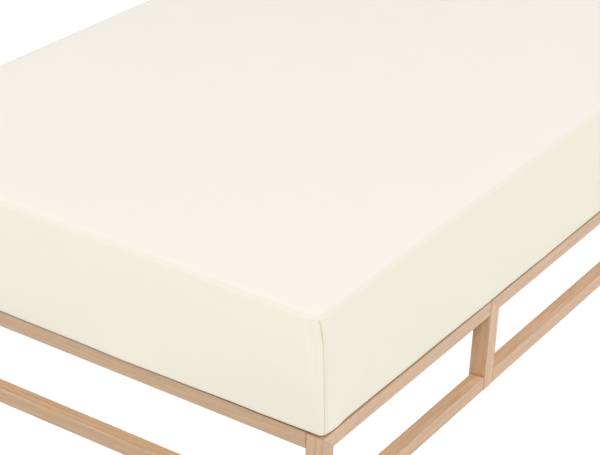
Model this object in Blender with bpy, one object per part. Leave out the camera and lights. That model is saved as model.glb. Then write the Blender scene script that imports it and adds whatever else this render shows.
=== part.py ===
"""A fitted sheet stretched over a plain mattress, which lies on a low wooden bed frame with cross slats.

Metres, +Z up. The origin is on the floor at the middle of the bed. X runs across the bed and Y along it, and the near
end is at -Y. The cloth and the mattress are lofted through rings that follow the bed's rounded outline.
"""

from collections import namedtuple
from math import cos, pi, radians, sin, sqrt

import bmesh
import bpy

# Bed frame
BED_WIDTH = 1.200
BED_LENGTH = 2.000
FRAME_TOP = 0.206
BAR = 0.036
TOP_RAIL_HEIGHT = 0.032
FLOOR_RAIL_HEIGHT = 0.031
FLOOR_RAIL_THICKNESS = 0.030
MID_POST_FROM_END = 0.615
JOINT_GAP = 0.0003
MODULE_GAP = 0.001
CHAMFER = 0.0012

# Slats and the ledges that carry them
SLAT_COUNT = 12
SLAT_WIDTH = 0.070
SLAT_THICKNESS = 0.016
FIRST_SLAT_FROM_END = 0.110
SLAT_END_PLAY = 0.002
LEDGE_THICKNESS = 0.020
LEDGE_HEIGHT = 0.0154

# Cloth
CLOTH = 0.0015
SHEET_FOOT = FRAME_TOP + 0.0005
SHEET_TOP = 0.437
TOP_TILT = 0.003
CORNER_DIP = 0.007
TOP_EDGE_RADIUS = 0.011
FOOT_RADIUS = 0.005
TUCK = 0.095
TUCK_ROUNDING = 1.2
INNER_ROUNDING = 0.15
SEAM_ANGLE = 60
SEAM_RIDGE = 0.0012

# Mattress, inside the cloth
SIDE_PLAY = 0.0020
TOP_PLAY = 0.0008
MATTRESS_EDGE_RADIUS = 0.012
BELLY_FROM_TUCK = 0.015
BELLY_SLOPE = 0.020

# The cloth's outline at three levels. Each face stands in from the frame's outer face by its own amount, and its middle
# bows out (or in, where negative) from the line between its corners.
Level = namedtuple("Level", "share near far left right corner_radius end_bow side_bow")
LEVELS = (
    Level(0.0, near=0.003, far=0.003, left=0.0045, right=0.0045, corner_radius=0.011, end_bow=0.004, side_bow=0.003),
    Level(0.5, near=0.001, far=0.003, left=0.0100, right=0.0145, corner_radius=0.020, end_bow=0.000, side_bow=0.000),
    Level(1.0, near=0.002, far=0.005, left=0.0190, right=0.0290, corner_radius=0.034, end_bow=-0.008, side_bow=-0.003),
)

# How finely a ring and a section are cut
Mesh = namedtuple("Mesh", "corner_angles end_pieces side_pieces top_insets edge_pieces side_rows tuck_rows")
CLOTH_MESH = Mesh((0, 15, 30, 45, 56, 60, 64, 77, 90), 8, 12, (0.50, 0.25, 0.09, 0.03), 5, 5, 3)
MATTRESS_MESH = Mesh((0, 22.5, 45, 67.5, 90), 6, 10, (0.50, 0.25, 0.09), 3, 4, 2)

# One ring of a section: how far in from the outline, its share of the cloth's height, its height above or below that
# level, how much its corners are rounded more than the outline, and how far a seam stands out there.
Row = namedtuple("Row", "inset share rise rounding ridge")
FACES = ("near", "right", "far", "left")


def material(name, colour, roughness):
    """A plain finish."""
    made = bpy.data.materials.new(name)
    made.use_nodes = True
    shader = made.node_tree.nodes["Principled BSDF"]
    shader.inputs["Base Color"].default_value = (*colour, 1.0)
    shader.inputs["Roughness"].default_value = roughness
    shader.inputs["Metallic"].default_value = 0.0
    return made


def place(name, mesh, finish):
    """Puts a finished mesh in the scene under its node's name."""
    piece = bpy.data.objects.new(name, mesh)
    bpy.context.collection.objects.link(piece)
    mesh.materials.append(finish)
    return piece


# ---------------------------------------------------------------- wood


def prism(name, outline, low_x, high_x, grain, finish, butt_at=None):
    """A bar whose outline in the YZ plane is extruded along X, with its edges along the grain chamfered.

    butt_at is the Y of a butt end, whose edges are chamfered too.
    """
    bm = bmesh.new()
    face = bm.faces.new([bm.verts.new((low_x, y, z)) for y, z in outline])
    drawn = bmesh.ops.extrude_face_region(bm, geom=[face])["geom"]
    moved = [v for v in drawn if isinstance(v, bmesh.types.BMVert)]
    bmesh.ops.translate(bm, vec=(high_x - low_x, 0, 0), verts=moved)
    bmesh.ops.recalc_face_normals(bm, faces=bm.faces)

    def softened(edge):
        a, b = (v.co for v in edge.verts)
        along = abs((b - a).normalized()[grain]) > 0.999
        on_butt = butt_at is not None and all(abs(v.y - butt_at) < JOINT_GAP / 2 for v in (a, b))
        return along or on_butt

    edges = [e for e in bm.edges if softened(e)]
    bmesh.ops.bevel(bm, geom=edges, offset=CHAMFER, segments=1, affect="EDGES")
    mesh = bpy.data.meshes.new(name)
    bm.to_mesh(mesh)
    bm.free()
    return place(name, mesh, finish)


ALONG_X, ALONG_Y, ALONG_Z = 0, 1, 2


def rectangle(low, high):
    return [low, (high[0], low[1]), high, (low[0], high[1])]


def at_end(outline, way):
    """An outline drawn for the near end, or with way -1 its mirror image at the far end."""
    return [(way * y, z) for y, z in outline]


def side_of_frame(side, wood):
    """Posts and rails of one long side, drawn from the near end and mirrored for the far end."""
    hand = "right" if side > 0 else "left"
    outer, inner = side * BED_WIDTH / 2, side * (BED_WIDTH / 2 - BAR)
    span = sorted((outer, inner))
    floor_span = sorted((outer, side * (BED_WIDTH / 2 - FLOOR_RAIL_THICKNESS)))
    start, under = -BED_LENGTH / 2, FRAME_TOP - TOP_RAIL_HEIGHT
    mid = start + MID_POST_FROM_END
    back = JOINT_GAP / sqrt(2)
    for way, where in ((1, "near"), (-1, "far")):
        # Posts, whose heads are mitred to the rail on their inner side
        for name, foot in ((f"post_{where}_{hand}", start), (f"mid_post_{where}_{hand}", mid)):
            mitred = [(foot, 0), (foot + BAR, 0), (foot + BAR, under - back), (foot, FRAME_TOP - back)]
            prism(name, at_end(mitred, way), *span, ALONG_Z, wood)
        butt = mid - MODULE_GAP
        rail = [(start + back, FRAME_TOP), (start + BAR + back, under), (butt, under), (butt, FRAME_TOP)]
        prism(f"top_rail_{where}_{hand}", at_end(rail, way), *span, ALONG_Y, wood, way * butt)
        rail = rectangle((start + BAR + JOINT_GAP, 0), (butt, FLOOR_RAIL_HEIGHT))
        prism(f"floor_rail_{where}_{hand}", at_end(rail, way), *floor_span, ALONG_Y, wood, way * butt)
    rail = [(mid + back, FRAME_TOP), (mid + BAR + back, under)]
    rail += [(-y, z) for y, z in reversed(rail)]
    prism(f"top_rail_middle_{hand}", rail, *span, ALONG_Y, wood)
    clear = mid + BAR + JOINT_GAP
    rail = rectangle((clear, 0), (-clear, FLOOR_RAIL_HEIGHT))
    prism(f"floor_rail_middle_{hand}", rail, *floor_span, ALONG_Y, wood)


def end_of_frame(end, wood):
    """The two rails across one end, between the corner posts."""
    where = "near" if end < 0 else "far"
    reach = BED_WIDTH / 2 - BAR - JOINT_GAP
    outer = end * BED_LENGTH / 2
    for name, low, high, thickness in (
        (f"top_rail_{where}_end", FRAME_TOP - TOP_RAIL_HEIGHT, FRAME_TOP, BAR),
        (f"floor_rail_{where}_end", 0, FLOOR_RAIL_HEIGHT, FLOOR_RAIL_THICKNESS),
    ):
        near, far = sorted((outer, outer - end * thickness))
        prism(name, rectangle((near, low), (far, high)), -reach, reach, ALONG_X, wood)


def slats(wood):
    """The two ledges inside the long sides, and the slats that lie on them, level with the frame's top."""
    inside = BED_WIDTH / 2 - BAR
    low = FRAME_TOP - SLAT_THICKNESS
    ledge_end = BED_LENGTH / 2 - BAR - JOINT_GAP
    ledge_top = low - JOINT_GAP
    for side, hand in ((1, "right"), (-1, "left")):
        span = sorted((side * (inside - JOINT_GAP), side * (inside - JOINT_GAP - LEDGE_THICKNESS)))
        ledge = rectangle((-ledge_end, ledge_top - LEDGE_HEIGHT), (ledge_end, ledge_top))
        prism(f"ledge_{hand}", ledge, *span, ALONG_Y, wood)
    reach = inside - SLAT_END_PLAY
    first = -BED_LENGTH / 2 + FIRST_SLAT_FROM_END
    step = -2 * first / (SLAT_COUNT - 1)
    for i in range(SLAT_COUNT):
        y = first + i * step
        slat = rectangle((y - SLAT_WIDTH / 2, low), (y + SLAT_WIDTH / 2, FRAME_TOP))
        prism(f"slat_{i + 1:02d}", slat, -reach, reach, ALONG_X, wood)


# ---------------------------------------------------------------- cloth and mattress


def outline_at(share):
    """The outline between the two levels nearest to this share of the height."""
    share = min(max(share, 0.0), 1.0)
    for low, high in zip(LEVELS, LEVELS[1:]):
        if share <= high.share:
            t = (share - low.share) / (high.share - low.share)
            return Level(*(a + (b - a) * t for a, b in zip(low, high)))


def top_height(x, y):
    """The top sinks a little towards the right side and more towards the corners, where the seams pull."""
    u, v = 2 * x / BED_WIDTH, 2 * y / BED_LENGTH
    return SHEET_TOP - TOP_TILT * u - CORNER_DIP * min(u * u, 1) * min(v * v, 1)


def ring(row, mesh):
    """The points of one ring, anticlockwise from the near end's left corner."""
    level = outline_at(row.share)
    west = -BED_WIDTH / 2 + level.left + row.inset
    east = BED_WIDTH / 2 - level.right - row.inset
    south = -BED_LENGTH / 2 + level.near + row.inset
    north = BED_LENGTH / 2 - level.far - row.inset
    radius = max(level.corner_radius - row.inset, 0.002) + row.rounding
    centres = {
        "near": (east - radius, south + radius),
        "right": (east - radius, north - radius),
        "far": (west + radius, north - radius),
        "left": (west + radius, south + radius),
    }
    points = []
    for k, face in enumerate(FACES):
        turn = k * pi / 2
        out = (sin(turn), -cos(turn))
        pieces, bow = (mesh.end_pieces, level.end_bow) if face in ("near", "far") else (mesh.side_pieces, level.side_bow)
        ax, ay = centres[FACES[k - 1]]
        bx, by = centres[face]
        # The straight run, bowed, between the arc before it and the arc after it
        for i in range(1, pieces):
            t = i / pieces
            push = radius + bow * (1 - (2 * t - 1) ** 2)
            points.append((ax + (bx - ax) * t + out[0] * push, ay + (by - ay) * t + out[1] * push))
        for angle in mesh.corner_angles:
            a = turn - pi / 2 + radians(angle)
            reach = radius + (row.ridge if angle == SEAM_ANGLE else 0)
            points.append((bx + cos(a) * reach, by + sin(a) * reach))
    return [(x, y, SHEET_FOOT + (top_height(x, y) - SHEET_FOOT) * row.share + row.rise) for x, y in points]


def section(mesh, within, below, edge, foot, ridge=0.0):
    """The rows of a section from the middle of the top, over the edge and down, to the edge of the tuck.

    The surface lies within the cloth's outer face on the sides, and below it at the top and above it at the tuck. Its
    top edge and its foot are rounded to radii edge and foot, and a seam stands out from the sides by ridge.
    """
    rows = [Row(inset, 1, -below, inset * INNER_ROUNDING, 0) for inset in mesh.top_insets]
    for i in range(mesh.edge_pieces + 1):
        a = pi / 2 * (1 - i / mesh.edge_pieces)
        rows.append(Row(within + edge * (1 - cos(a)), 1, -below - edge * (1 - sin(a)), 0, 0))
    for i in range(1, mesh.side_rows):
        share = 1 - i / mesh.side_rows
        rise = (below + foot) * (1 - share) - (below + edge) * share
        rows.append(Row(within, share, rise, 0, ridge))
    for i in range(mesh.edge_pieces + 1):
        a = -pi / 2 * i / mesh.edge_pieces
        rows.append(Row(within + foot * (1 - cos(a)), 0, below + foot * (1 + sin(a)), 0, 0))
    first = within + foot
    for i in range(1, mesh.tuck_rows + 1):
        inset = first + (TUCK - first) * i / mesh.tuck_rows
        rows.append(Row(inset, 0, below, (inset - first) * TUCK_ROUNDING, 0))
    return rows


def loft(name, rows, mesh, finish, sharp=50):
    """A closed skin through the rings, whose two ends are closed by strips from one long side to the other."""
    bm = bmesh.new()
    rings = [[bm.verts.new(p) for p in ring(row, mesh)] for row in rows]
    n = len(rings[0])
    for a, b in zip(rings, rings[1:]):
        for i in range(n):
            j = (i + 1) % n
            bm.faces.new((a[i], a[j], b[j], b[i]))
    # A ring starts just past a corner, and the strips start at the middle of the near end
    start = (mesh.end_pieces - 1) // 2
    for end in (rings[0], rings[-1]):
        around = end[start:] + end[:start]
        for i in range(n // 2):
            strip = [around[i], around[i + 1], around[n - i - 1], around[-i]]
            bm.faces.new(list(dict.fromkeys(strip)))
    bmesh.ops.recalc_face_normals(bm, faces=bm.faces)
    made = bpy.data.meshes.new(name)
    bm.to_mesh(made)
    bm.free()
    made.shade_smooth()
    made.set_sharp_from_angle(angle=radians(sharp))
    return place(name, made, finish)


def sheet(cloth):
    """One cloth with two faces: out along the outer rows to the tuck's edge, and back along the inner ones."""
    outer = section(CLOTH_MESH, 0, 0, TOP_EDGE_RADIUS, FOOT_RADIUS, SEAM_RIDGE)
    inner = section(CLOTH_MESH, CLOTH, CLOTH, TOP_EDGE_RADIUS - CLOTH, FOOT_RADIUS - CLOTH, SEAM_RIDGE)
    return loft("sheet", outer + inner[::-1], CLOTH_MESH, cloth)


def mattress(ticking):
    """A filled block inside the cloth, whose belly sinks to the slats inside the tuck's edge."""
    above_foot = CLOTH + TOP_PLAY
    rows = section(MATTRESS_MESH, CLOTH + SIDE_PLAY, above_foot, MATTRESS_EDGE_RADIUS, MATTRESS_EDGE_RADIUS)
    belly = FRAME_TOP + JOINT_GAP - SHEET_FOOT
    start, rounding, middle = TUCK + BELLY_FROM_TUCK, TUCK * TUCK_ROUNDING, MATTRESS_MESH.top_insets[0]
    rows.append(Row(start, 0, above_foot, rounding, 0))
    rows.append(Row(start + BELLY_SLOPE, 0, belly, rounding, 0))
    rows.append(Row(middle, 0, belly, middle * INNER_ROUNDING, 0))
    return loft("mattress", rows, MATTRESS_MESH, ticking)


def build():
    for old in list(bpy.data.objects):
        bpy.data.objects.remove(old)
    wood = material("light_wood", (0.60, 0.41, 0.27), 0.55)
    for side in (1, -1):
        side_of_frame(side, wood)
    for end in (-1, 1):
        end_of_frame(end, wood)
    slats(wood)
    mattress(material("ticking", (0.80, 0.79, 0.76), 0.9))
    sheet(material("cream_cotton", (0.87, 0.84, 0.72), 0.85))


build()
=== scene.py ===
# %% [markdown]
# # A cream fitted sheet, stretched over a mattress on a low bed frame
#
# The sheet is one thin cloth. It lies over the mattress's top, turns down its four sides and tucks in
# under it, and each corner is sewn with one upright seam. The bed frame's bars and slats come ready made
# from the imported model. This script gives them their wood, and makes the cloth and the mattress again as
# fine meshes.

# %% Load the frame
from collections import namedtuple
from math import cos, pi, radians, sin

import bpy
import numpy as np
from mathutils import Euler, Matrix, Vector


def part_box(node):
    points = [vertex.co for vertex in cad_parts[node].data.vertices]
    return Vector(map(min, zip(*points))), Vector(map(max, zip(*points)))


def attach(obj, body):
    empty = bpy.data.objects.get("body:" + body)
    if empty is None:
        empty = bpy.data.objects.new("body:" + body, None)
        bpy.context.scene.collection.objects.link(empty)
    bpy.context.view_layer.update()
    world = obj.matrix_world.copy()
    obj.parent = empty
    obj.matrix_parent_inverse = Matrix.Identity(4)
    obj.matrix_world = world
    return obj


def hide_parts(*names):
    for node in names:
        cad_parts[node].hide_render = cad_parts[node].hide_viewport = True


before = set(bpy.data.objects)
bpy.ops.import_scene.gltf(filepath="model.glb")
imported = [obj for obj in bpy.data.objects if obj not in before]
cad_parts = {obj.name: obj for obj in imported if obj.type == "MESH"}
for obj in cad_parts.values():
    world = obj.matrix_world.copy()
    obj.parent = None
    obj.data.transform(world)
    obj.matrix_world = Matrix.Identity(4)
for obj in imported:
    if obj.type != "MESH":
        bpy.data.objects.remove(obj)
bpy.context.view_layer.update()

scene = bpy.context.scene

# %% [markdown]
# ## The camera
#
# The photograph is taken from in front of the bed's near right corner, looking down at about 27 degrees
# through a long lens. A long lens keeps upright edges almost parallel. The place, turn, tilt and lens
# below were worked out from the straight edges of the bed frame, which are the only lines in the picture
# with known directions.

# %% Camera
CAMERA_PLACE = (1.9713, -3.2954, 1.9660)
CAMERA_TURN = radians(32.09)
CAMERA_DOWN = radians(26.86)
CAMERA_ROLL = radians(2.69)
LENS_MM = 111.3
SENSOR_MM = 36.0
FURTHEST_SEEN = 200.0

camera_data = bpy.data.cameras.new("camera")
camera_data.lens = LENS_MM
camera_data.sensor_width = SENSOR_MM
camera_data.clip_end = FURTHEST_SEEN
camera = bpy.data.objects.new("camera", camera_data)
scene.collection.objects.link(camera)
looking = Euler((pi / 2 - CAMERA_DOWN, 0, CAMERA_TURN)).to_matrix() @ Matrix.Rotation(CAMERA_ROLL, 3, "Z")
camera.matrix_world = Matrix.Translation(CAMERA_PLACE) @ looking.to_4x4()
scene.camera = camera
print("camera axes", [[round(x, 4) for x in row] for row in looking])

# %% [markdown]
# ## Sizes taken from the frame
#
# The cloth fits the bed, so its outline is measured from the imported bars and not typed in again. The
# frame's top is where the cloth's foot rests.

# %% Sizes
RIGHT_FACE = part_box("post_near_right")[1].x
NEAR_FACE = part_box("post_near_right")[0].y
FRAME_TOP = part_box("top_rail_near_end")[1].z
BED_WIDTH = 2 * RIGHT_FACE
BED_LENGTH = -2 * NEAR_FACE
print("bed", round(BED_WIDTH, 4), "by", round(BED_LENGTH, 4), "with its top at", round(FRAME_TOP, 4))

# %% [markdown]
# ## The cloth's outline
#
# Seen from above, the stretched cloth is a rectangle with rounded corners. It is a little smaller at the
# top than at the foot, because the cloth pulls the mattress's upper edge in, and its corners are rounder
# there. The right side leans in the most, and all four faces bow out a little at the foot. Each level
# could be drawn by hand, but three are enough here: a parabola through them gives every level between,
# and it is always smooth.

# %% Outline
Level = namedtuple("Level", "share near far left right radius end_bow side_bow")
LEVELS = (
    Level(0.0, near=0.0006, far=0.001, left=0.002, right=0.0020, radius=0.011, end_bow=0.005, side_bow=0.003),
    Level(0.5, near=0.0010, far=0.003, left=0.010, right=0.0145, radius=0.020, end_bow=0.0, side_bow=0.0),
    Level(1.0, near=0.0105, far=0.005, left=0.019, right=0.0290, radius=0.034, end_bow=0.0, side_bow=-0.003),
)
FOOT_GAP = 0.0005
SHEET_FOOT = FRAME_TOP + FOOT_GAP
SHEET_TOP = 0.4385
TOP_TILT = 0.003
CORNER_DIP = 0.007


def outline_at(share):
    """Every measure of the outline at these shares of the height, on a parabola through the three levels."""
    foot = 2 * (share - 0.5) * (share - 1)
    middle = 4 * share * (1 - share)
    top = 2 * share * (share - 0.5)
    return Level(*(a * foot + b * middle + c * top for a, b, c in zip(*LEVELS)))


def top_height(x, y):
    """The top sinks a little towards the right side and more towards the corners, where the seams pull."""
    u, v = 2 * x / BED_WIDTH, 2 * y / BED_LENGTH
    return SHEET_TOP - TOP_TILT * u - CORNER_DIP * np.minimum(u * u, 1) * np.minimum(v * v, 1)


print("the cloth's foot is at", round(SHEET_FOOT, 4), "and its top at", round(top_height(0, 0), 4))

# %% [markdown]
# ## Columns: where the mesh needs to be fine
#
# A flat stretch of cloth needs few points, and a seam needs a point every 0.6 mm. So the distance along
# the outline is measured from each seam, and the columns stand close together beside it and further apart
# with distance. Between two seams the columns are spread evenly. A column keeps its distance from the
# seam at every height, even though the corner's radius changes, and that is what keeps the seam a clean
# line. The seam itself isn't quite upright: halfway up it has drifted further round the corner, and its
# upper end turns back.

# %% Columns
SEAM_ANGLE = radians(60)
SEAM_DRIFT = radians(13)
SEAM_TIP_TURN = radians(9)
DRIFT_POWER = 3
FINE_STEP = 0.0006
FINE_COUNT = 13
STEP_GROWTH = 1.22
WIDE_STEP = 0.0125
beside_seam = [0.0]
step = FINE_STEP
while step < WIDE_STEP:
    beside_seam.append(beside_seam[-1] + step)
    if len(beside_seam) > FINE_COUNT:
        step *= STEP_GROWTH
SEAM_ZONE = beside_seam[-1]

Columns = namedtuple("Columns", "corner offset spread after")


def make_columns():
    """For each column: the corner whose seam it follows, its fixed offset, and its share of the rest."""
    rows = []
    for corner in range(4):
        run = BED_LENGTH if corner % 2 == 0 else BED_WIDTH
        between = round((run - 2 * SEAM_ZONE) / WIDE_STEP)
        rows += [(corner, d, 0.0) for d in beside_seam]
        rows += [(corner, SEAM_ZONE, i / between) for i in range(1, between)]
        rows += [(corner, 2 * SEAM_ZONE - d, 1.0) for d in reversed(beside_seam)]
    corner, offset, spread = (np.array(column) for column in zip(*rows))
    return Columns(corner, offset, spread, (corner + 1) % 4)


columns = make_columns()
print(len(columns.corner), "columns, of which", 8 * len(beside_seam), "stand beside the seams")

# %% [markdown]
# ## Rows: down the section of the cloth
#
# A row is one ring around the bed. Going from the middle of the top outwards, the rows run over the
# rounded upper edge, down the side, round the foot and in under the mattress to the hem. Each row has its
# inset from the outline, its share of the height, its rise above or below that level, and how much
# rounder its corners are. The section could be drawn as a curve, but as a list of rows it serves both the
# cloth and the mattress, each with its own number of rows.

# %% Rows
TOP_EDGE_RADIUS = 0.011
FOOT_RADIUS = 0.005
FOOT_LIFT = 0.0022
LIFT_REACH = 0.030
TUCK = 0.095
TUCK_ROUNDING = 1.2
INNER_ROUNDING = 0.15
CROWN_DROP = 0.0022
CROWN_WIDTH = 0.080
Row = namedtuple("Row", "inset share rise rounding")


def crown(inset):
    """How far the top has sunk below its flat middle, this far in from the outline."""
    return CROWN_DROP * np.maximum(1 - inset / CROWN_WIDTH, 0) ** 2


def lift(inset):
    """How far the cloth stands off the rail, this far in from its outer face: its tuck pulls the edge up."""
    return FOOT_LIFT * np.maximum(1 - inset / LIFT_REACH, 0) ** 2


def as_table(rows):
    """A list of rows as one Row of upright arrays, ready to meet the columns."""
    return Row(*(np.array(column)[:, None] for column in zip(*rows)))


def section(top_steps, edge_pieces, side_pieces, foot_pieces, tuck_steps,
            within=0.0, edge=TOP_EDGE_RADIUS, foot=FOOT_RADIUS):
    """The rows of a surface that lies within the cloth's outer face."""
    rows = []
    for inset in top_steps:
        rows.append(Row(inset, 1, -within - crown(inset), inset * INNER_ROUNDING))
    for i in range(edge_pieces + 1):
        a = pi / 2 * (1 - i / edge_pieces)
        inset = edge * (1 - cos(a))
        rows.append(Row(within + inset, 1, -within - crown(inset) - edge * (1 - sin(a)), 0))
    for i in range(1, side_pieces):
        share = 1 - i / side_pieces
        rise = (within + foot + lift(0)) * (1 - share) - (within + edge + crown(0)) * share
        rows.append(Row(within, share, rise, 0))
    for i in range(foot_pieces + 1):
        a = -pi / 2 * i / foot_pieces
        inset = foot * (1 - cos(a))
        rows.append(Row(within + inset, 0, within + foot * (1 + sin(a)) + lift(inset), 0))
    first = within + foot
    for inset in tuck_steps:
        rows.append(Row(first + inset, 0, within + lift(foot + inset), inset * TUCK_ROUNDING))
    return as_table(rows)


print("the crown drops", round(crown(0), 4), "m and the foot stands", round(lift(0), 4), "m off the rail")

# %% [markdown]
# ## Rings: rows and columns together
#
# Each point of the grid lies on an arc of a corner or on the straight run between two corners. Working
# all points out at once with numpy keeps the script quick, and the same function serves the cloth and the
# mattress inside it.

# %% Rings
FACES = ("near", "right", "far", "left")
SMALLEST_RADIUS = 0.002
SHORTEST_HALF_RUN = 0.001
ROOM_FOR_SEAM_ZONES = 2.4
Ring = namedtuple("Ring", "points along from_seam")


def rings(rows, columns):
    """The grid's points, and how far each lies from its face's middle and from the nearest seam."""
    level = outline_at(rows.share)
    west = -BED_WIDTH / 2 + level.left + rows.inset
    east = BED_WIDTH / 2 - level.right - rows.inset
    south = -BED_LENGTH / 2 + level.near + rows.inset
    north = BED_LENGTH / 2 - level.far - rows.inset
    radius = np.maximum(level.radius - rows.inset, SMALLEST_RADIUS) + rows.rounding
    radius = np.minimum(radius, (east - west) / 2 - SHORTEST_HALF_RUN)
    drift = SEAM_DRIFT * (1 - np.abs(2 * rows.share - 1) ** DRIFT_POWER)
    seam_angle = SEAM_ANGLE + drift - SEAM_TIP_TURN * rows.share ** DRIFT_POWER
    centre_x = np.concatenate([east - radius, east - radius, west + radius, west + radius], axis=1)
    centre_y = np.concatenate([south + radius, north - radius, north - radius, south + radius], axis=1)
    ax, ay = centre_x[:, columns.corner], centre_y[:, columns.corner]
    bx, by = centre_x[:, columns.after], centre_y[:, columns.after]
    run = np.abs(bx - ax) + np.abs(by - ay)
    before = radius * (pi / 2 - seam_angle)
    whole = before + run + radius * seam_angle
    # The small rings in the middle of the top have no room for the whole zone beside each seam
    squeeze = np.minimum(1, whole / (ROOM_FOR_SEAM_ZONES * SEAM_ZONE))
    s = columns.offset * squeeze + (whole - 2 * SEAM_ZONE * squeeze) * columns.spread
    turn = columns.after * pi / 2
    bow = np.where(columns.after % 2 == 0, level.end_bow, level.side_bow)
    t = np.clip((s - before) / run, 0, 1)
    push = radius + bow * (1 - (2 * t - 1) ** 2)
    # The angle climbs from the seam's to the face's own, stays there along the straight run and climbs again
    angle = turn + np.minimum(s - before, 0) / radius + np.maximum(s - before - run, 0) / radius
    x = ax + (bx - ax) * t + np.sin(angle) * push
    y = ay + (by - ay) * t - np.cos(angle) * push
    z = SHEET_FOOT + (top_height(x, y) - SHEET_FOOT) * rows.share + rows.rise
    along = s - before - run / 2
    from_seam = np.where(s < whole / 2, s, s - whole)
    return Ring(np.stack([x, y, z], axis=2), along, from_seam)


def normals_of(points):
    """The outward normal at every point of a grid of rows around the bed, the uppermost first."""
    across = np.roll(points, -1, axis=1) - np.roll(points, 1, axis=1)
    down = np.gradient(points, axis=0)
    normal = np.cross(down, across)
    return normal / np.linalg.norm(normal, axis=2, keepdims=True)


# %% [markdown]
# ## The corner seams
#
# At each corner of a fitted sheet a square is cut out, and its two edges are sewn together from the hem
# up to the top edge. The seam's allowance lies inside, turned towards one panel, and lifts that panel a
# little beside the seam. Near the top the other panel is fuller, so that it stands over the seam as a
# soft lip that dies away in a point. All of that is relief on the smooth cloth: a distance along the
# normal, as a function of the distance from the seam and of the depth below its upper end. It could be
# modelled by hand, but a function gives all four seams at once. The groove is too fine for the mesh to
# shade, so a second function gives painted shade: how much darker each point looks in the groove, along
# the allowance's edge and in the dip beside it. The cloth's finish uses that.

# %% Seam relief
SEAM_TIP_DEPTH = 0.010
SEAM_START = 0.005
SEAM_FADE = 0.050
LIP_REACH = 0.008
LIP_EDGE = 0.0012
LIP_HEIGHT = 0.0013
LIP_AT_FOOT = 0.0004
GROOVE_WIDTH = 0.0019
GROOVE_DEPTH = 0.0046
GROOVE_AT_FOOT = 0.0012
DIP_WIDTH = 0.011
DIP_DEPTH = 0.0018
DIP_AT_FOOT = 0.0012
ALLOWANCE_WIDTH = 0.0065
ALLOWANCE_HEIGHT = 0.0006
ALLOWANCE_STEP = 0.0009
ALLOWANCE_FROM = 0.03
ALLOWANCE_FULL = 0.10
# How dark the painted shade by a seam is, and where its lines lie
SHADE_FADE = 0.011
LINE_PLACE = 0.0014
LINE_WIDTH = 0.0018
LINE_SHADE = 0.34
TIP_SHADE = 0.80
EDGE_SHADE = 0.06
DIP_SHADE = 0.12


def smooth(x, low, high):
    """0 below low, 1 above high and a smooth curve between them."""
    t = np.clip((x - low) / (high - low), 0, 1)
    return t * t * (3 - 2 * t)


def seam_relief(from_seam, depth):
    """How far the cloth stands out near a seam, this far below the seam's upper end."""
    fade = smooth(depth, 0, SEAM_START)
    upper = np.exp(-np.maximum(depth, 0) / SEAM_FADE)
    lip_height = LIP_AT_FOOT + (LIP_HEIGHT - LIP_AT_FOOT) * upper
    lip = np.where(from_seam < 0, smooth(from_seam, -LIP_REACH, -LIP_EDGE), 0)
    after = from_seam >= 0
    groove_depth = GROOVE_AT_FOOT + (GROOVE_DEPTH - GROOVE_AT_FOOT) * upper
    groove = np.where(after, np.exp(-(from_seam / GROOVE_WIDTH) ** 2), 0)
    dip_depth = DIP_AT_FOOT + (DIP_DEPTH - DIP_AT_FOOT) * upper
    dip = np.where(after, np.exp(-np.abs(from_seam) / DIP_WIDTH), 0)
    past_allowance = smooth(from_seam, ALLOWANCE_WIDTH - ALLOWANCE_STEP, ALLOWANCE_WIDTH + ALLOWANCE_STEP)
    allowance = smooth(from_seam, 0, GROOVE_WIDTH) * (1 - past_allowance)
    lifted = ALLOWANCE_HEIGHT * allowance * smooth(depth, ALLOWANCE_FROM, ALLOWANCE_FULL)
    return fade * (lip_height * lip ** 2 - groove_depth * groove - dip_depth * dip + lifted)


print("the seam's groove is", round(-seam_relief(0, SEAM_START) * 1000, 1), "mm deep near its upper end")


def painted_seam_shade(from_seam, depth):
    """Painted shade by a seam: a dark line in the groove, darkest at its tip, a faint one along the
    allowance's edge, and shade in the dip.
    """
    upper = np.exp(-np.maximum(depth, 0) / SHADE_FADE)
    line = (LINE_SHADE + TIP_SHADE * upper) * np.exp(-((from_seam - LINE_PLACE) / LINE_WIDTH) ** 2)
    edge = EDGE_SHADE * np.exp(-((from_seam - ALLOWANCE_WIDTH) / LINE_WIDTH) ** 2)
    dip = DIP_SHADE * np.where(from_seam >= 0, np.exp(-np.abs(from_seam) / DIP_WIDTH), 0)
    return smooth(depth, 0, SEAM_START) * (line + edge + dip)
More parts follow.
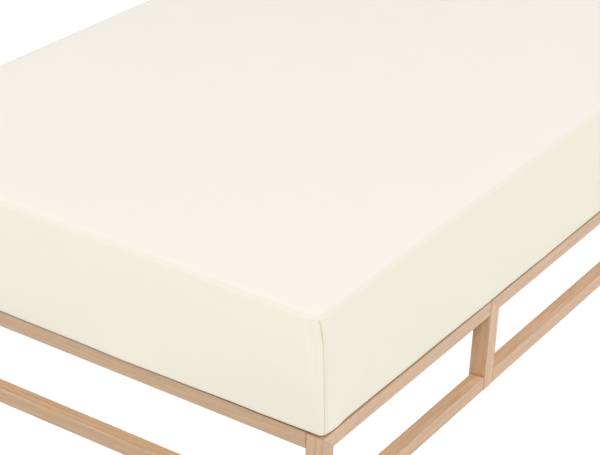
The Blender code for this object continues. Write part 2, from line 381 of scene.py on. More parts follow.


# %% [markdown]
# ## Soft ridges, troughs and the uneven hem
#
# A stretched sheet is smooth but never quite flat. Each row of this table is one soft ridge, or a trough
# where its out is negative: the face it lies on, how far along that face from its middle, how high up,
# how it leans, how long and wide it is, and how far it stands out. The hem's line is uneven too: it
# stands out a little where the elastic bunches the cloth, most of all beside the near right corner.
# Simulated cloth would give folds of its own, but not these ones, so two short tables were chosen
# instead.

# %% Ridges and hem
Ridge = namedtuple("Ridge", "face at height lean length width out")
RIDGES = (
    Ridge("near", at=0.47, height=0.345, lean=-35, length=0.110, width=0.030, out=0.0008),
    Ridge("near", at=0.40, height=0.390, lean=-20, length=0.120, width=0.016, out=-0.0006),
    Ridge("near", at=0.10, height=0.330, lean=80, length=0.080, width=0.050, out=0.0006),
    Ridge("right", at=-0.87, height=0.268, lean=55, length=0.050, width=0.022, out=0.0010),
    Ridge("right", at=-0.93, height=0.330, lean=75, length=0.070, width=0.016, out=-0.0007),
    Ridge("right", at=-0.62, height=0.350, lean=-40, length=0.120, width=0.030, out=0.0006),
    Ridge("right", at=-0.45, height=0.300, lean=-25, length=0.180, width=0.028, out=-0.0006),
    Ridge("right", at=-0.20, height=0.360, lean=-15, length=0.150, width=0.030, out=0.0006),
    Ridge("right", at=0.55, height=0.330, lean=60, length=0.100, width=0.035, out=0.0008),
    Ridge("right", at=0.85, height=0.330, lean=-60, length=0.090, width=0.028, out=0.0010),
    Ridge("far", at=-0.45, height=0.330, lean=40, length=0.100, width=0.030, out=0.0009),
    Ridge("far", at=0.10, height=0.350, lean=70, length=0.080, width=0.040, out=-0.0007),
    Ridge("far", at=0.44, height=0.340, lean=-50, length=0.090, width=0.026, out=0.0008),
    Ridge("left", at=-0.84, height=0.340, lean=50, length=0.100, width=0.028, out=0.0009),
    Ridge("left", at=-0.30, height=0.330, lean=20, length=0.160, width=0.034, out=0.0007),
    Ridge("left", at=0.20, height=0.360, lean=-30, length=0.130, width=0.030, out=-0.0006),
    Ridge("left", at=0.82, height=0.330, lean=-55, length=0.100, width=0.026, out=0.0009),
)
Bunch = namedtuple("Bunch", "face at width out")
BUNCHES = (
    Bunch("near", at=0.165, width=0.060, out=0.0020),
    Bunch("near", at=0.220, width=0.100, out=0.0016),
    Bunch("near", at=0.310, width=0.040, out=0.0009),
    Bunch("near", at=0.395, width=0.030, out=-0.0005),
    Bunch("near", at=0.475, width=0.030, out=0.0014),
    Bunch("near", at=0.530, width=0.025, out=0.0009),
    Bunch("near", at=-0.13, width=0.060, out=-0.0010),
    Bunch("near", at=-0.42, width=0.060, out=0.0010),
    Bunch("right", at=-0.962, width=0.026, out=0.0040),
    Bunch("right", at=-0.60, width=0.070, out=-0.0010),
    Bunch("right", at=-0.41, width=0.040, out=0.0008),
    Bunch("right", at=-0.322, width=0.018, out=-0.0006),
    Bunch("right", at=-0.16, width=0.030, out=0.0010),
    Bunch("right", at=0.40, width=0.050, out=-0.0012),
    Bunch("right", at=0.70, width=0.060, out=0.0011),
    Bunch("far", at=-0.20, width=0.060, out=0.0014),
    Bunch("far", at=0.30, width=0.030, out=-0.0009),
    Bunch("left", at=-0.50, width=0.080, out=0.0012),
    Bunch("left", at=0.10, width=0.040, out=-0.0009),
    Bunch("left", at=0.62, width=0.060, out=0.0013),
)
HEM_REACH = 0.045


def on_face(face, columns):
    """1 for the columns of one face, else 0."""
    return (columns.after == FACES.index(face)).astype(float)


def ridge_relief(ring, columns):
    """The sum of the soft ridges and troughs."""
    total = np.zeros_like(ring.along)
    z = ring.points[:, :, 2]
    for ridge in RIDGES:
        lean = radians(ridge.lean)
        a, h = ring.along - ridge.at, z - ridge.height
        lengthwise = (a * cos(lean) + h * sin(lean)) / ridge.length
        crosswise = (h * cos(lean) - a * sin(lean)) / ridge.width
        total += on_face(ridge.face, columns) * ridge.out * np.exp(-lengthwise ** 2 - crosswise ** 2)
    return total


def hem_relief(ring, columns):
    """How far the foot stands out where the hem bunches, dying away up the side."""
    above = np.maximum(ring.points[:, :, 2] - SHEET_FOOT, 0)
    total = np.zeros_like(ring.along)
    for bunch in BUNCHES:
        near_bunch = np.exp(-((ring.along - bunch.at) / bunch.width) ** 2)
        total += on_face(bunch.face, columns) * bunch.out * near_bunch
    return total * np.exp(-above / HEM_REACH)


print(len(RIDGES), "ridges and troughs, and", len(BUNCHES), "bunches along the hem")

# %% [markdown]
# ## The top's faint unevenness
#
# The cloth on top lies on the mattress and is pulled in all directions, so only the faintest waves are
# left, a fraction of a millimetre high. They run slightly across the bed, as the pull of the corners
# makes them. A few crossed sine waves of unlike lengths, kept off the edges, give that without any
# pattern that repeats in view.

# %% Top waves
Wave = namedtuple("Wave", "length heading phase height")
WAVES = (
    Wave(length=0.093, heading=63, phase=0.3, height=0.00016),
    Wave(length=0.131, heading=48, phase=1.9, height=0.00018),
    Wave(length=0.074, heading=77, phase=4.1, height=0.00010),
    Wave(length=0.212, heading=21, phase=2.6, height=0.00020),
)
WAVES_FROM = 0.05
WAVES_FULL = 0.14


def top_waves(x, y):
    """The height of the top's faint waves."""
    total = np.zeros_like(x)
    for wave in WAVES:
        heading = radians(wave.heading)
        forward = x * cos(heading) + y * sin(heading)
        total += wave.height * np.sin(2 * pi * forward / wave.length + wave.phase)
    inside = np.minimum(BED_WIDTH / 2 - np.abs(x), BED_LENGTH / 2 - np.abs(y))
    return total * smooth(inside, WAVES_FROM, WAVES_FULL)


print("the top's waves stay within", round(sum(wave.height for wave in WAVES) * 1000, 2), "mm")

# %% [markdown]
# ## The tuck and its gathers
#
# Under the mattress the cloth runs in for about 95 mm, to a hem with elastic in it. The elastic is
# shorter than the cloth, so the hem's edge is gathered: it runs in and out, more so at the corners. The
# frame's bars press the cloth flat, which leaves the gathers almost no height. One sine wave gives the
# gathers, and two slower ones push it back and forth, so that no two gathers are the same.

# %% Gathers
GATHER_LENGTH = 0.038
GATHER_IN = 0.0035
GATHER_HEIGHT = 0.0005
GATHER_LAG = 1.3
CORNER_FULLNESS = 0.8
CORNER_REACH = 0.06
Drift = namedtuple("Drift", "shift turns phase")
DRIFTS = (Drift(shift=0.012, turns=23.0, phase=0.0), Drift(shift=0.007, turns=61.0, phase=1.0))


def gathers(ring, rows):
    """The inward shift and the rise of every point of the tuck."""
    into = np.clip((rows.inset - FOOT_RADIUS) / (TUCK - FOOT_RADIUS), 0, 1) * (rows.share == 0)
    uneven = ring.along
    for drift in DRIFTS:
        uneven = uneven + drift.shift * np.sin(ring.along * drift.turns + drift.phase)
    turn = 2 * pi * uneven / GATHER_LENGTH
    corner = 1 + CORNER_FULLNESS * np.exp(-np.abs(ring.from_seam) / CORNER_REACH)
    inward = GATHER_IN * into ** 2 * np.sin(turn) * corner
    return inward, GATHER_HEIGHT * into * (1 + np.sin(turn + GATHER_LAG)) / 2


print("about", round(2 * (BED_WIDTH + BED_LENGTH) / GATHER_LENGTH), "gathers around the hem")

# %% [markdown]
# ## Building the cloth
#
# The outer face is the whole grid with its relief. The inner face is made of fewer rows of the same grid,
# moved in by the cloth's thickness, so that the sheet is one closed thin shell with a real hem edge, and
# the mesh stays under 200,000 triangles. The flat position of each point on the uncut cloth is stored
# with it for the knit, and so are two painted shades: how much darker it looks by a seam, and how far
# round the rounded upper edge it lies.

# %% Sheet mesh
CLOTH = 0.0012
HAIR = 0.00005
INNERMOST_INSET = 0.500
CROWN_STEP = 0.006
CROWN_END = TOP_EDGE_RADIUS + 0.002
TUCK_FIRST = 0.004
TUCK_END = 0.0745
TUCK_STEP = 0.0078
HEM_INSETS = (0.0765, 0.0785, 0.0805, 0.083, 0.0855, 0.087)
FLAT_INSETS = np.arange(INNERMOST_INSET, CROWN_WIDTH, -WIDE_STEP)
TOP_INSETS = np.concatenate([FLAT_INSETS, np.arange(CROWN_WIDTH, CROWN_END, -CROWN_STEP)])
TUCK_INSETS = np.concatenate([np.arange(TUCK_FIRST, TUCK_END, TUCK_STEP), HEM_INSETS])
EDGE_PIECES = 9
SIDE_PIECES = 30
FOOT_PIECES = 7
EDGE_START = len(TOP_INSETS)
SIDE_START = EDGE_START + EDGE_PIECES + 1
FOOT_START = SIDE_START + SIDE_PIECES - 1
TUCK_START = FOOT_START + FOOT_PIECES + 1
RELIEF_FROM = -0.004
RELIEF_FULL = 0.006


def outer_face():
    """The cloth's outer face: its rows, ring values, points, the tuck's rise, and its two painted shades."""
    rows = section(TOP_INSETS, EDGE_PIECES, SIDE_PIECES, FOOT_PIECES, TUCK_INSETS)
    ring = rings(rows, columns)
    points = ring.points
    normal = normals_of(points)
    depth = top_height(points[:, :, 0], points[:, :, 1]) - CROWN_DROP - points[:, :, 2] - SEAM_TIP_DEPTH
    on_side = smooth(depth, RELIEF_FROM, RELIEF_FULL) * (rows.inset < TUCK / 2)
    on_seam = rows.inset < FOOT_RADIUS + HAIR
    relief = seam_relief(ring.from_seam, depth) * on_seam
    relief = relief + on_side * (ridge_relief(ring, columns) + hem_relief(ring, columns))
    # The relief never lifts the cloth off the bars that it rests on
    shift = normal * relief[:, :, None]
    shift[:, :, 2] = np.where(rows.share == 0, 0, shift[:, :, 2])
    points = points + shift
    points[:, :, 2] += top_waves(points[:, :, 0], points[:, :, 1]) * (rows.share == 1)
    inward, rise = gathers(ring, rows)
    points = points + inward[:, :, None] * np.stack([-normal[:, :, 0], -normal[:, :, 1], 0 * inward], axis=2)
    # Painted shade by the seams, for the cloth's finish
    seam = painted_seam_shade(ring.from_seam, depth) * on_seam
    # Painted shade of the rounded upper edge: 0 on the flat top and on the upright sides, and 1 halfway round
    # the edge between them
    upward = np.clip(normal[:, :, 2], 0, 1) ** 2
    edge = 4 * upward * (1 - upward)
    return rows, ring, points, rise, seam, edge


rows, ring, outer, rise, painted_seam_darkness, painted_edge_darkness = outer_face()
print("outer face", outer.shape[0], "rows by", outer.shape[1], "columns")

# %% Flat coordinates and the two-sided shell


def flat_coordinates(rows, ring, points):
    """Where each point lies on the flat cloth, in metres from the middle: across the bed, and along it."""
    x, y = points[:, :, 0], points[:, :, 1]
    steps = np.linalg.norm(np.diff(points, axis=0), axis=2)
    run_down = np.zeros_like(x)
    run_down[1:] = np.cumsum(steps, axis=0)
    run_down = np.maximum(run_down - run_down[EDGE_START], 0)
    edge_row = points[EDGE_START]
    along = ring.along
    face = columns.after
    out_x = np.select([face == 1, face == 3], [edge_row[:, 0] + run_down, edge_row[:, 0] - run_down], 0)
    out_y = np.select([face == 0, face == 2], [edge_row[:, 1] - run_down, edge_row[:, 1] + run_down], 0)
    side_u = np.select([face == 0, face == 2], [along, -along], out_x)
    side_v = np.select([face == 1, face == 3], [along, -along], out_y)
    over = np.clip((np.arange(len(x)) - EDGE_START + 1) / EDGE_PIECES, 0, 1)[:, None]
    return x + (side_u - x) * over, y + (side_v - y) * over


# Which rows of the outer face the inner face takes over, stretch by stretch
Stretch = namedtuple("Stretch", "first end every")
INNER_STRETCHES = (
    Stretch(first=0, end=EDGE_START - 8, every=8),
    Stretch(first=EDGE_START - 4, end=EDGE_START, every=3),
    Stretch(first=EDGE_START, end=SIDE_START, every=3),
    Stretch(first=SIDE_START + 4, end=FOOT_START - 2, every=5),
    Stretch(first=FOOT_START, end=TUCK_START, every=2),
    Stretch(first=TUCK_START + 2, end=len(rows.share), every=3),
)
INNER_ROWS = [row for stretch in INNER_STRETCHES for row in range(*stretch)]


def grid_mesh(name, layers, u=None, v=None, shades=None):
    """A closed mesh of rings, with both ends closed by strips from one long side to the other."""
    n = layers.shape[1]
    count = layers.shape[0]
    index = np.arange(count * n).reshape(count, n)
    a, b = index[:-1], index[1:]
    quads = np.stack([a, b, np.roll(b, -1, axis=1), np.roll(a, -1, axis=1)], axis=2).reshape(-1, 4)
    faces = quads.tolist()
    # The strips start at the middle of the near end, whose columns come last
    near = np.flatnonzero(columns.after == 0)
    start = int(near[len(near) // 2])
    for end, flip in ((index[0], False), (index[-1], True)):
        around = np.roll(end, -start)
        for i in range(n // 2):
            strip = [int(around[i]), int(around[i + 1]), int(around[n - i - 1]), int(around[-i])]
            strip = list(dict.fromkeys(strip))
            faces.append(strip[::-1] if flip else strip)
    mesh = bpy.data.meshes.new(name)
    mesh.from_pydata(layers.reshape(-1, 3).tolist(), [], faces)
    mesh.update()
    mesh.shade_smooth()
    if u is not None:
        flat = mesh.attributes.new("flat_cloth", "FLOAT_VECTOR", "POINT")
        flat.data.foreach_set("vector", np.stack([u, v, 0 * u], axis=2).astype(np.float32).ravel())
    for shade_name, shade in (shades or {}).items():
        darker = mesh.attributes.new(shade_name, "FLOAT", "POINT")
        darker.data.foreach_set("value", shade.astype(np.float32).ravel())
    piece = bpy.data.objects.new(name, mesh)
    scene.collection.objects.link(piece)
    return piece


def build_sheet():
    """The cloth as one closed shell."""
    u, v = flat_coordinates(rows, ring, outer)
    inner = outer - CLOTH * normals_of(outer)

    def both(outside, inside):
        return np.concatenate([outside, inside[INNER_ROWS][::-1]], axis=0)

    layers = both(outer, inner)
    layers[:, :, 2] += both(rise, rise)
    shades = {"painted_seam_shade": both(painted_seam_darkness, painted_seam_darkness), "painted_edge_shade": both(painted_edge_darkness, painted_edge_darkness)}
    return grid_mesh("fitted_sheet", layers, both(u, u), both(v, v), shades)


def triangle_count(piece):
    """How many triangles a piece's faces make."""
    return sum(len(face.vertices) - 2 for face in piece.data.polygons)


sheet = build_sheet()
furthest = np.abs(flat_coordinates(rows, ring, outer)).max(axis=(1, 2))
print("sheet", triangle_count(sheet), "triangles, flat size reaches", np.round(2 * furthest, 3))

# %% [markdown]
# ## The mattress
#
# The mattress only shows from below, between the slats. A plain block would do, but its corners have to
# stay inside the cloth's, so it is made with the same rows and rings, a little inside the cloth. Its
# belly sinks past the tuck to lie on the slats.

# %% Mattress mesh
MATTRESS_WITHIN = 0.0033
MATTRESS_EDGE_RADIUS = 0.012
MATTRESS_EVERY = 4
MATTRESS_EDGE_PIECES = 6
MATTRESS_SIDE_PIECES = 10
BELLY_FROM_TUCK = 0.015
BELLY_SLOPE = 0.020
BELLY_PIECES = 4
BELLY_GAP = 0.0003
BELLY_INSETS = (0.2, 0.35, 0.5)


def belly_rows():
    """The rows of the mattress's underside: down past the tuck, then flat on the slats to the middle."""
    start = TUCK + BELLY_FROM_TUCK
    rounding = TUCK * TUCK_ROUNDING
    belly = FRAME_TOP + BELLY_GAP - SHEET_FOOT
    under = []
    for i in range(BELLY_PIECES + 1):
        t = i / BELLY_PIECES
        rise = MATTRESS_WITHIN + (belly - MATTRESS_WITHIN) * smooth(t, 0, 1)
        under.append(Row(start + BELLY_SLOPE * t, 0, rise, rounding))
    for inset in BELLY_INSETS:
        under.append(Row(inset, 0, belly, inset * INNER_ROUNDING + rounding * (BELLY_INSETS[-1] - inset)))
    return as_table(under)


def build_mattress():
    """A filled block inside the cloth."""
    body = section(
        TOP_INSETS[::MATTRESS_EVERY], MATTRESS_EDGE_PIECES, MATTRESS_SIDE_PIECES, MATTRESS_EDGE_PIECES,
        TUCK_INSETS[::MATTRESS_EVERY], MATTRESS_WITHIN, MATTRESS_EDGE_RADIUS, MATTRESS_EDGE_RADIUS,
    )
    body = Row(*(np.concatenate([above, below], axis=0) for above, below in zip(body, belly_rows())))
    return grid_mesh("mattress_body", rings(body, columns).points)


mattress = build_mattress()
print("mattress", triangle_count(mattress), "triangles")

# %% [markdown]
# ## Finishes as expressions
#
# A finish is a tree of nodes, and much of a tree is arithmetic. Wrapping a socket in a small class lets
# that part be written as arithmetic, so that 1 - knit * 0.2 adds its own Math nodes. Every other node
# comes from the one method called node, which takes the node's type, its settings and what goes into its
# sockets.

# %% Wire class


class Wire:
    """One output socket of a finish, which can be added to, multiplied and so on."""

    def __init__(self, tree, socket=None):
        self.tree = tree
        self.socket = socket

    def node(self, kind, settings=None, inputs=None, output=0):
        """Adds a node, sets it, feeds its sockets and returns one of its outputs."""
        made = self.tree.nodes.new(kind)
        for name, value in (settings or {}).items():
            setattr(made, name, value)
        for name, value in (inputs or {}).items():
            if isinstance(value, Wire):
                self.tree.links.new(value.socket, made.inputs[name])
            else:
                made.inputs[name].default_value = value
        return Wire(self.tree, made.outputs[output])

    def maths(self, operation, *values):
        """A Math node on these values."""
        return self.node("ShaderNodeMath", {"operation": operation}, dict(enumerate(values)))

    def __add__(self, other):
        return self.maths("ADD", self, other)

    __radd__ = __add__

    def __mul__(self, other):
        return self.maths("MULTIPLY", self, other)

    __rmul__ = __mul__

    def __sub__(self, other):
        return self.maths("SUBTRACT", self, other)

    def __rsub__(self, other):
        return self.maths("SUBTRACT", other, self)

    def __truediv__(self, other):
        return self.maths("DIVIDE", self, other)

    def __rtruediv__(self, other):
        return self.maths("DIVIDE", other, self)

    def size(self):
        """The value without its sign."""
        return self.maths("ABSOLUTE", self)

    def wave(self):
        """A sine wave of this value, brought to the range from 0 to 1."""
        return self.maths("SINE", self) * 0.5 + 0.5

    def scaled(self, x, y, z):
        """A vector with its three parts scaled."""
        return self.node("ShaderNodeVectorMath", {"operation": "MULTIPLY"}, {0: self, 1: (x, y, z)})

    def times(self, value):
        """A vector or colour multiplied by one value."""
        return self.node("ShaderNodeVectorMath", {"operation": "SCALE"}, {0: self, 3: value})

    def moved(self, x, y, z):
        """A vector moved by another."""
        return self.node("ShaderNodeVectorMath", {"operation": "ADD"}, {0: self, 1: (x, y, z)})

    def part(self, name):
        """The X, Y or Z of a vector."""
        return self.node("ShaderNodeSeparateXYZ", None, {0: self}, output=name)

    def noise(self, scale, detail=2.0, roughness=0.5):
        """Noise read at this vector, from 0 to 1."""
        inputs = {"Vector": self, "Scale": scale, "Detail": detail, "Roughness": roughness}
        return self.node("ShaderNodeTexNoise", None, inputs, output="Fac")

    def between(self, first, second):
        """A colour between two others, by this value from 0 to 1."""
        settings = {"data_type": "RGBA"}
        return self.node("ShaderNodeMix", settings, {0: self, 6: first, 7: second}, output=2)


def finish(name, **plain):
    """A new material: its empty wire to grow a tree from, and its shader with the plain values set."""
    made = bpy.data.materials.new(name)
    made.use_nodes = True
    shader = made.node_tree.nodes["Principled BSDF"]
    for socket, value in plain.items():
        shader.inputs[socket.replace("_", " ")].default_value = value
    return made, Wire(made.node_tree), shader


def feed(wire, shader, socket):
    """Links a wire to one of the shader's sockets."""
    wire.tree.links.new(wire.socket, shader.inputs[socket])


def feed_bump(height, shader, strength, depth):
    """Small relief for the light to catch, which leaves the mesh as it is."""
    inputs = {"Strength": strength, "Distance": depth, "Height": height}
    feed(height.node("ShaderNodeBump", None, inputs), shader, "Normal")


# %% [markdown]
# ## The cloth's finish
#
# The sheet is a cream cotton jersey. Its knit is fine: one loop is about a millimetre wide, so from the
# camera it shows as an even, matt surface, and close up as upright columns of small V shapes. The knit is
# made with bump, and a trace of shade in its valleys. Modelled loops would need millions of faces and
# look the same. The knit's two directions are the cloth's own flat coordinates, so that the columns run
# over the edge and down the sides as they do on one piece of cloth. A trace of sheen stands for the fuzz
# of the yarn.
#
# Halfway round the upper edge the colour is a little deeper, as painted shade that keeps that edge from
# shining, and the seams' grooves carry painted shade deeper still.

# %% Cloth finish
CREAM = (0.744, 0.711, 0.588, 1.0)
CREAM_SHADE = (0.726, 0.690, 0.562, 1.0)
# The colour of the painted shade in the seams
CREAM_PAINTED_SHADE = (0.520, 0.480, 0.330, 1.0)
# The colour of the painted shade halfway round the rounded upper edge
CREAM_PAINTED_EDGE_SHADE = (0.663, 0.630, 0.535, 1.0)
WALE = 0.0011
COURSE = 0.0009
LOOP_SLANT = 1.6
STITCH_SHARE = 0.55
CLOUD_SCALE = 9.0
FUZZ_SCALE = 900.0
CLOUD_SHADE = 0.5
VALLEY_SHADE = 0.25
FUZZ_SHADE = 0.25
FUZZ_HEIGHT = 0.2
KNIT_DEPTH = 0.00012


def cream_cotton():
    """The sheet's finish: a fine knit, faint clouds of tone, and painted shade on the rounded edge and in the
    seams.
    """
    made, wire, shader = finish("cream_cotton", Roughness=0.92, Sheen_Weight=0.10, Sheen_Roughness=0.45)
    flat = wire.node("ShaderNodeAttribute", {"attribute_name": "flat_cloth"}, output="Vector")
    u, v = flat.part("X"), flat.part("Y")
    column = u / WALE
    across = column.maths("PINGPONG", column, 0.5)
    loops = (v / COURSE + across * LOOP_SLANT) * (2 * pi)
    stitch = loops.wave()
    valley = across * 2
    knit = stitch * STITCH_SHARE + valley * (1 - STITCH_SHARE)
    cloudy = flat.noise(CLOUD_SCALE, 3.0)
    fuzz = flat.noise(FUZZ_SCALE, 2.0)
    shade = cloudy * CLOUD_SHADE + (1 - knit) * VALLEY_SHADE + fuzz * FUZZ_SHADE
    colour = shade.between(CREAM, CREAM_SHADE)
    painted_edge_fac = wire.node("ShaderNodeAttribute", {"attribute_name": "painted_edge_shade"}, output="Fac")
    painted_seam_fac = wire.node("ShaderNodeAttribute", {"attribute_name": "painted_seam_shade"}, output="Fac")
    # Painted shade: a little halfway round the upper edge, and more in the seams
    feed(painted_seam_fac.between(painted_edge_fac.between(colour, CREAM_PAINTED_EDGE_SHADE), CREAM_PAINTED_SHADE), shader, "Base Color")
    feed_bump(knit * (1 - FUZZ_HEIGHT) + fuzz * FUZZ_HEIGHT, shader, strength=0.25, depth=KNIT_DEPTH)
    return made


sheet.data.materials.append(cream_cotton())
print("the cloth's finish has", len(sheet.data.materials[0].node_tree.nodes), "nodes")

# %% [markdown]
# ## The mattress's ticking
#
# Ticking is a tight plain weave, off-white, seen only from below. Its threads could be an image, but two
# crossed waves give them at any distance. The second wave runs along Y and up Z at once, so that the
# sides are woven too.

# %% Ticking finish
TICKING_PALE = (0.80, 0.79, 0.75, 1.0)
TICKING_SHADE = (0.70, 0.69, 0.64, 1.0)
THREAD = 0.0012
THREAD_DEPTH = 0.0003
TICKING_CLOUDS = 14.0
WEAVE_SHADE = 0.3
TICKING_CLOUD_SHADE = 0.5


def ticking():
    """The mattress's finish: crossed threads."""
    made, wire, shader = finish("ticking", Roughness=0.9)
    place = wire.node("ShaderNodeTexCoord", output="Object")
    x, y = place.part("X"), place.part("Y") + place.part("Z")
    warp = wire.maths("SINE", x * (2 * pi / THREAD))
    weft = wire.maths("SINE", y * (2 * pi / THREAD))
    weave = warp * weft * 0.5 + 0.5
    shade = weave * WEAVE_SHADE + place.noise(TICKING_CLOUDS, 3.0) * TICKING_CLOUD_SHADE
    feed(shade.between(TICKING_PALE, TICKING_SHADE), shader, "Base Color")
    feed_bump(weave, shader, strength=0.4, depth=THREAD_DEPTH)
    return made


mattress.data.materials.append(ticking())
print("the ticking has", len(mattress.data.materials[0].node_tree.nodes), "nodes")

# %% [markdown]
# ## The wood
#
# The bars are a light, straight-grained hardwood under a satin varnish. The grain of each bar runs along
# it, and no two bars are cut from the same place, so each bar gets its own finish: the same tree of
# nodes, turned along the bar and read at another place of the noise. Stretching noise along the grain
# turns blobs into fibres.
#
# A short table gives each kind of bar its own tone, and the floor rails' upper faces another one than
# their sides. That is partly the bars' own tone, which differs from board to board, and partly painted
# light: bars and faces that the lamps leave too dark are made lighter, and those they light too much are
# made darker. Masks measured from the bar's own box add painted shade: the chamfers are a little darker,
# so they catch no light, a dark line paints the shadow in the gap where two lengths of the frame meet, and
# the narrow strip of wood beside the cloth's foot is painted darker, as the cloth's shade.

# %% Wood finish
WOOD_WARM = (0.624, 0.388, 0.215, 1.0)
WOOD_GREY = (0.565, 0.401, 0.265, 1.0)
WOOD_DARK = (0.456, 0.283, 0.156, 1.0)
# The pores' colour, which the painted shade uses too
WOOD_PORE_AND_PAINTED_SHADE = (0.315, 0.180, 0.088, 1.0)
# Each kind of bar's tone, partly the board's own and partly painted light, its upper face apart
Tone = namedtuple("Tone", "bars side upper")
BAR_TONES_AND_PAINTED_LIGHT = (
    Tone("mid_post", side=1.27, upper=1.27), Tone("floor_rail_near_end", side=0.95, upper=1.23),
    Tone("floor_rail_middle", side=1.19, upper=1.36), Tone("floor_rail", side=1.14, upper=1.23),
    Tone("top_rail_near_end", side=0.93, upper=0.93), Tone("top_rail", side=1.15, upper=1.15),
    Tone("post", side=1.02, upper=1.02), Tone("", side=1.0, upper=1.0),
)
JOINED_RAILS = [
    f"{level}_rail_{end}_{hand}"
    for level in ("top", "floor") for end in ("near", "far") for hand in ("left", "right")
]
Darker = namedtuple("Darker", "start full share")
CHAMFER = 0.0012
# Painted shade: on the chamfers, in the gap at the joints, and beside the cloth's foot
PAINTED_SHADE_ON_CHAMFER = Darker(start=0.0006, full=0.0001, share=0.36)
PAINTED_SHADOW_AT_JOINT = Darker(start=0.0034, full=0.0022, share=0.95)
PAINTED_SHADE_UNDER_CLOTH = Darker(start=0.0014, full=0.0004, share=0.60)
UPPER_START = 0.0008
UPPER_FULL = 0.0002

# %% The wood's figure
Figure = namedtuple("Figure", "along across detail roughness")
STREAKS = Figure(along=11.0, across=300.0, detail=2.0, roughness=0.5)
BANDS = Figure(along=7.0, across=200.0, detail=2.0, roughness=0.5)
GROWTH = Figure(along=0.8, across=34.0, detail=1.0, roughness=0.5)
FIBRES = Figure(along=16.0, across=520.0, detail=3.0, roughness=0.6)
PORES = Figure(along=90.0, across=1500.0, detail=1.0, roughness=0.5)
LINES_OF_GROWTH = 60.0
STREAK_RANGE = (0.38, 0.62)
PORE_RANGE = (0.60, 0.74)
TONE_RANGE = (0.28, 0.72)
PORE_DARKER = 0.35
BAND_SHARE = 0.44
LINE_SHARE = 0.12
FIBRE_HEIGHT = 0.6
PORE_HEIGHT = 0.5
LINE_HEIGHT = 0.2
CUT_APART = (0.37, 0.61, 0.23)
GRAIN_DEPTH = 0.0002
SMOOTHEST = 0.40
FIBRE_ROUGHNESS = 0.16


def bar_wood(name, piece, number):
    """One bar's wood: grain along the bar, its tone with painted light, and painted shade on the chamfers, at
    the joints and beside the cloth's foot.
    """
    low, high = Vector(piece.bound_box[0]), Vector(piece.bound_box[6])
    middle, half = (low + high) / 2, (high - low) / 2
    grain = max(range(3), key=lambda axis: half[axis])
    made, wire, shader = finish(f"wood_{name}", IOR=1.5, Coat_Weight=1.0, Coat_IOR=1.5, Coat_Roughness=0.42)
    tone_and_painted_light = next(row for row in BAR_TONES_AND_PAINTED_LIGHT if name.startswith(row.bars))
    place = wire.node("ShaderNodeTexCoord", output="Object")
    moved = place.moved(*(step * number for step in CUT_APART))

    def read(figure):
        scale = [figure.across] * 3
        scale[grain] = figure.along
        return moved.scaled(*scale).noise(1.0, figure.detail, figure.roughness)

    def clearer(value, start, full):
        inputs = {0: value, 1: start, 2: full}
        return wire.node("ShaderNodeMapRange", {"interpolation_type": "SMOOTHSTEP"}, inputs)

    def off_middle(axis):
        return (place.part("XYZ"[axis]) - middle[axis]).size()

    # Mixes painted shade towards the pores' colour, by a mask
    def with_painted_shade(colour, value, limit, darker):
        mask = clearer(value, limit - darker.start, limit - darker.full)
        return (mask * darker.share).between(colour, WOOD_PORE_AND_PAINTED_SHADE)

    streaks = clearer(read(STREAKS), *STREAK_RANGE)
    bands = read(BANDS)
    lines = (read(GROWTH) * LINES_OF_GROWTH).wave()
    fibre = read(FIBRES)
    pore = clearer(read(PORES), *PORE_RANGE)
    tone = bands * BAND_SHARE + lines * LINE_SHARE + fibre * (1 - BAND_SHARE - LINE_SHARE)
    tone = clearer(tone, *TONE_RANGE)
    colour = tone.between(streaks.between(WOOD_WARM, WOOD_GREY), WOOD_DARK)
    # The table's tones, partly the bar's own and partly painted light, with the upper face set apart
    painted_light_upper_face = clearer(place.part("Z"), high.z - UPPER_START, high.z - UPPER_FULL)
    colour = (pore * PORE_DARKER).between(colour, WOOD_PORE_AND_PAINTED_SHADE)
    colour = colour.times(painted_light_upper_face * (tone_and_painted_light.upper - tone_and_painted_light.side) + tone_and_painted_light.side)
    first, second = (axis for axis in range(3) if axis != grain)
    across = off_middle(first) + off_middle(second)
    # Painted shade on the chamfers, so they catch no light
    colour = with_painted_shade(colour, across, half[first] + half[second] - CHAMFER, PAINTED_SHADE_ON_CHAMFER)
    # Painted shadow in the gap where two lengths of the frame meet
    if name in JOINED_RAILS:
        towards_middle = (place.part("Y") - middle.y) * (1 if "near" in name else -1)
        colour = with_painted_shade(colour, towards_middle, half.y, PAINTED_SHADOW_AT_JOINT)
    # Painted shade on the strip of wood beside the cloth's foot
    if high.z > FRAME_TOP - CHAMFER:
        colour = with_painted_shade(colour, place.part("Z"), FRAME_TOP, PAINTED_SHADE_UNDER_CLOTH)
    feed(colour, shader, "Base Color")
    feed(fibre * FIBRE_ROUGHNESS + SMOOTHEST, shader, "Roughness")
    height = fibre * FIBRE_HEIGHT - pore * PORE_HEIGHT + lines * LINE_HEIGHT
    feed_bump(height, shader, strength=0.25, depth=GRAIN_DEPTH)
    return made


wooden = sorted(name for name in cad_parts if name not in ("sheet", "mattress"))
for number, name in enumerate(wooden):
    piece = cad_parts[name]
    piece.data.materials.clear()
    piece.data.materials.append(bar_wood(name, piece, number + 1))
print(len(wooden), "bars and slats have their wood")

# %% [markdown]
# ## The soft pieces: their flat size, and taking the imported ones' place
#
# The sheet was cut from a flat cloth: the mattress's size, plus a side and a tuck on each edge. The
# squares cut out at the corners make its flat area smaller than that rectangle. These sizes could be
# typed in, but worked out from the bed they stay true if the bed changes.

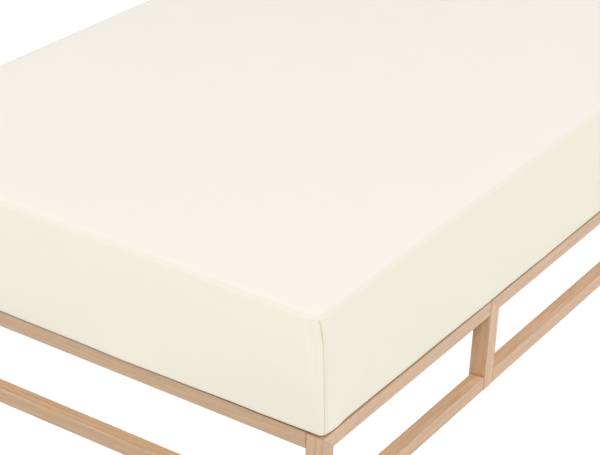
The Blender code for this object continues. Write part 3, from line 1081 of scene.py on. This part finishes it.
# %% Flat size and placing
SIDE_DROP = SHEET_TOP - SHEET_FOOT
SAVED_BY_ROUNDING = 0.020
FLAT_WIDTH = BED_WIDTH + 2 * (SIDE_DROP + TUCK) - SAVED_BY_ROUNDING
FLAT_LENGTH = BED_LENGTH + 2 * (SIDE_DROP + TUCK) - SAVED_BY_ROUNDING
FLAT_AREA = FLAT_WIDTH * FLAT_LENGTH - 4 * (SIDE_DROP + TUCK) ** 2
print("cut from", round(FLAT_WIDTH, 3), "by", round(FLAT_LENGTH, 3), "m, area", round(FLAT_AREA, 3))
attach(sheet, "root")
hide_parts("sheet")
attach(mattress, "root")
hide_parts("mattress")

# %% [markdown]
# ## Floor and light
#
# The studio is white. Its main light is a large soft box high up and far away, on the camera's side, so
# its light falls evenly on the whole bed. Four weaker boxes fill in from overhead, the left, the front
# and the far right, which sets how bright each face of the cloth is. A single strong light would be
# simpler, but its shadows would be hard. The floor glows for the camera only, and the world looks
# brighter to the camera than it shines. That gives a white ground and sends no extra light up at the bed.

# %% Floor
FLOOR_TONE = (0.60, 0.60, 0.60, 1.0)
FLOOR_SEEN_TONE = (0.16, 0.16, 0.16, 1.0)
FLOOR_GLOW = (0.965, 0.965, 0.965, 1.0)
NO_GLOW = (0.0, 0.0, 0.0, 1.0)
FLOOR_REACH = 40.0
FLOOR_BELOW = 0.0005


def build_floor():
    """A flat floor just under the rails, as staging."""
    mesh = bpy.data.meshes.new("floor")
    corners = [(x * FLOOR_REACH, y * FLOOR_REACH, 0) for x, y in ((-1, -1), (1, -1), (1, 1), (-1, 1))]
    mesh.from_pydata(corners, [], [(0, 1, 2, 3)])
    floor = bpy.data.objects.new("floor", mesh)
    floor.location.z = -FLOOR_BELOW
    scene.collection.objects.link(floor)
    made, wire, shader = finish("floor", Roughness=1.0, Specular_IOR_Level=0.0, Emission_Strength=1.0)
    seen = wire.node("ShaderNodeLightPath", output="Is Camera Ray")
    feed(seen.between(FLOOR_TONE, FLOOR_SEEN_TONE), shader, "Base Color")
    feed(seen.between(NO_GLOW, FLOOR_GLOW), shader, "Emission Color")
    mesh.materials.append(made)


build_floor()

# %% Lights
Softbox = namedtuple("Softbox", "name place aim width height colour power")
SOFTBOXES = (
    Softbox("overhead", (0.0, 1.6, 5.5), (0.0, 0.5, 0.4), 6.0, 6.0, (0.25, 0.33, 1.0), 95.0),
    Softbox("left_front", (-6.5, -6.0, 3.4), (0.0, -0.4, 0.3), 4.5, 3.5, (0.98, 1.0, 1.0), 270.0),
    Softbox("front", (1.2, -9.4, 3.4), (0.2, -0.4, 0.3), 4.5, 3.5, (1.0, 1.0, 1.0), 62.0),
    Softbox("right_far", (7.5, 4.6, 3.4), (0.4, 0.2, 0.3), 4.5, 3.5, (1.0, 1.0, 0.93), 250.0),
    Softbox("main", (8.6, -9.4, 14.8), (0.2, -0.2, 0.3), 9.0, 7.5, (1.0, 0.99, 0.96), 2440.0),
)
WORLD_GLOW = (0.48, 0.48, 0.48, 1.0)
WORLD_SEEN_GLOW = (1.0, 1.0, 1.0, 1.0)


def build_lights():
    """The soft boxes, each turned to its aim, and the world around them."""
    for box in SOFTBOXES:
        data = bpy.data.lights.new(box.name, "AREA")
        data.shape, data.size, data.size_y = "RECTANGLE", box.width, box.height
        data.color, data.energy = box.colour, box.power
        light = bpy.data.objects.new(box.name, data)
        scene.collection.objects.link(light)
        light.location = box.place
        light.rotation_euler = (Vector(box.aim) - Vector(box.place)).to_track_quat("-Z", "Y").to_euler()
        light.visible_camera = False
    world = bpy.data.worlds.new("world")
    world.use_nodes = True
    backdrop = world.node_tree.nodes["Background"]
    seen = Wire(world.node_tree).node("ShaderNodeLightPath", output="Is Camera Ray")
    feed(seen.between(WORLD_GLOW, WORLD_SEEN_GLOW), backdrop, "Color")
    scene.world = world


build_lights()
print(len(SOFTBOXES), "soft boxes light the bed")
scene.view_settings.view_transform = "Standard"
scene.view_settings.look = "None"
